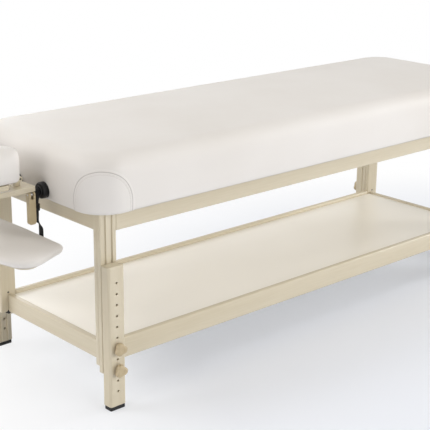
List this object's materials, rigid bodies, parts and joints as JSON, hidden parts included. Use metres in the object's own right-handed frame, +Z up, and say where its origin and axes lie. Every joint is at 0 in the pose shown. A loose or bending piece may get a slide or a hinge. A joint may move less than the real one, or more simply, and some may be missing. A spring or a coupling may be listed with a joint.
{
  "type": "massage table",
  "caption": "Long padded massage table on a wooden frame with a shelf, legs that telescope on clamping knobs, a sliding and tilting face cradle, and an arm rest hung on straps.",
  "frame": {"origin": "on the floor, under the middle of the whole length from the face cradle's end to the foot end", "axes": "+X along the table towards its foot end, +Y across it away from the cam lever's side, +Z up"},
  "size_m": [2.3, 0.676, 0.7704],
  "materials": {
    "vinyl": "satin",
    "cream_lacquer": "satin",
    "shelf_laminate": "satin",
    "tan_plastic": "satin",
    "beige_plastic": "satin",
    "black_rubber": "matte",
    "black_plastic": "satin",
    "black_webbing": "matte",
    "dark_steel": "satin",
    "bright_steel": "polished"
  },
  "bodies": {
    "table_frame": {"top_cushion": "vinyl", "deck_board": "cream_lacquer", "top_rail_near": "cream_lacquer", "shelf_rail_near": "cream_lacquer", "top_rail_far": "cream_lacquer", "shelf_rail_far": "cream_lacquer", "top_rail_head": "cream_lacquer", "shelf_rail_head": "cream_lacquer", "top_rail_foot": "cream_lacquer", "shelf_rail_foot": "cream_lacquer", "shelf_board": "shelf_laminate", "post_head_near": "cream_lacquer", "post_liner_head_near": "cream_lacquer", "sleeve_nut_head_near": "dark_steel", "post_head_far": "cream_lacquer", "post_liner_head_far": "cream_lacquer", "sleeve_nut_head_far": "dark_steel", "post_foot_near": "cream_lacquer", "post_liner_foot_near": "cream_lacquer", "sleeve_nut_foot_near": "dark_steel", "post_foot_far": "cream_lacquer", "post_liner_foot_far": "cream_lacquer", "sleeve_nut_foot_far": "dark_steel", "rod_sleeve_near": "black_plastic", "rod_sleeve_far": "black_plastic"},
    "leg_head_near": {"leg_extension_head_near": "cream_lacquer", "foot_head_near": "black_rubber"},
    "upper_knob_head_near": {"upper_knob_head_near": "tan_plastic"},
    "lower_knob_head_near": {"lower_knob_head_near": "tan_plastic"},
    "leg_head_far": {"leg_extension_head_far": "cream_lacquer", "foot_head_far": "black_rubber"},
    "upper_knob_head_far": {"upper_knob_head_far": "tan_plastic"},
    "lower_knob_head_far": {"lower_knob_head_far": "tan_plastic"},
    "leg_foot_near": {"leg_extension_foot_near": "cream_lacquer", "foot_foot_near": "black_rubber"},
    "upper_knob_foot_near": {"upper_knob_foot_near": "tan_plastic"},
    "lower_knob_foot_near": {"lower_knob_foot_near": "tan_plastic"},
    "leg_foot_far": {"leg_extension_foot_far": "cream_lacquer", "foot_foot_far": "black_rubber"},
    "upper_knob_foot_far": {"upper_knob_foot_far": "tan_plastic"},
    "lower_knob_foot_far": {"lower_knob_foot_far": "tan_plastic"},
    "cradle": {"cradle_rod_near": "bright_steel", "cradle_rod_far": "bright_steel", "cross_bar": "cream_lacquer", "base_frame": "cream_lacquer", "hinge_pin": "dark_steel", "cam_bolt": "bright_steel", "rear_strap_near": "black_webbing", "rear_strap_far": "black_webbing", "front_strap_near": "black_webbing", "front_strap_far": "black_webbing", "buckle_near": "black_plastic"},
    "face_platform": {"tilt_platform": "cream_lacquer", "face_cushion": "vinyl"},
    "cam": {"cam_lever": "beige_plastic", "cam_pin": "bright_steel"},
    "arm_rest": {"arm_rest_board": "cream_lacquer", "arm_rest_pad": "vinyl"}
  },
  "joints": [
    {"name": "leg_height_head_near", "type": "slide", "parent": "table_frame", "child": "leg_head_near", "axis": [0, 0, -1], "range_m": [-0.066, 0.132]},
    {"name": "upper_knob_pull_head_near", "type": "slide", "parent": "table_frame", "child": "upper_knob_head_near", "axis": [0, -1, 0], "range_m": [0, 0.085]},
    {"name": "lower_knob_pull_head_near", "type": "slide", "parent": "table_frame", "child": "lower_knob_head_near", "axis": [0, -1, 0], "range_m": [0, 0.085]},
    {"name": "leg_height_head_far", "type": "slide", "parent": "table_frame", "child": "leg_head_far", "axis": [0, 0, -1], "range_m": [-0.066, 0.132]},
    {"name": "upper_knob_pull_head_far", "type": "slide", "parent": "table_frame", "child": "upper_knob_head_far", "axis": [0, 1, 0], "range_m": [0, 0.085]},
    {"name": "lower_knob_pull_head_far", "type": "slide", "parent": "table_frame", "child": "lower_knob_head_far", "axis": [0, 1, 0], "range_m": [0, 0.085]},
    {"name": "leg_height_foot_near", "type": "slide", "parent": "table_frame", "child": "leg_foot_near", "axis": [0, 0, -1], "range_m": [-0.066, 0.132]},
    {"name": "upper_knob_pull_foot_near", "type": "slide", "parent": "table_frame", "child": "upper_knob_foot_near", "axis": [0, -1, 0], "range_m": [0, 0.085]},
    {"name": "lower_knob_pull_foot_near", "type": "slide", "parent": "table_frame", "child": "lower_knob_foot_near", "axis": [0, -1, 0], "range_m": [0, 0.085]},
    {"name": "leg_height_foot_far", "type": "slide", "parent": "table_frame", "child": "leg_foot_far", "axis": [0, 0, -1], "range_m": [-0.066, 0.132]},
    {"name": "upper_knob_pull_foot_far", "type": "slide", "parent": "table_frame", "child": "upper_knob_foot_far", "axis": [0, 1, 0], "range_m": [0, 0.085]},
    {"name": "lower_knob_pull_foot_far", "type": "slide", "parent": "table_frame", "child": "lower_knob_foot_far", "axis": [0, 1, 0], "range_m": [0, 0.085]},
    {"name": "cradle_slide", "type": "slide", "parent": "table_frame", "child": "cradle", "axis": [-1, 0, 0], "range_m": [0, 0.12]},
    {"name": "face_tilt", "type": "hinge", "parent": "cradle", "child": "face_platform", "pos_m": [-0.83, 0, 0.6631], "axis": [0, 1, 0], "range_deg": [0, 40]},
    {"name": "cam_swing", "type": "hinge", "parent": "cradle", "child": "cam", "pos_m": [-0.804, -0.0873, 0.6156], "axis": [-1, 0, 0], "range_deg": [0, 90]},
    {"name": "arm_rest_height", "type": "slide", "parent": "cradle", "child": "arm_rest", "axis": [0, 0, -1], "range_m": [0, 0.1], "deforming": ["rear_strap_near", "rear_strap_far", "front_strap_near", "front_strap_far"]}
  ]
}
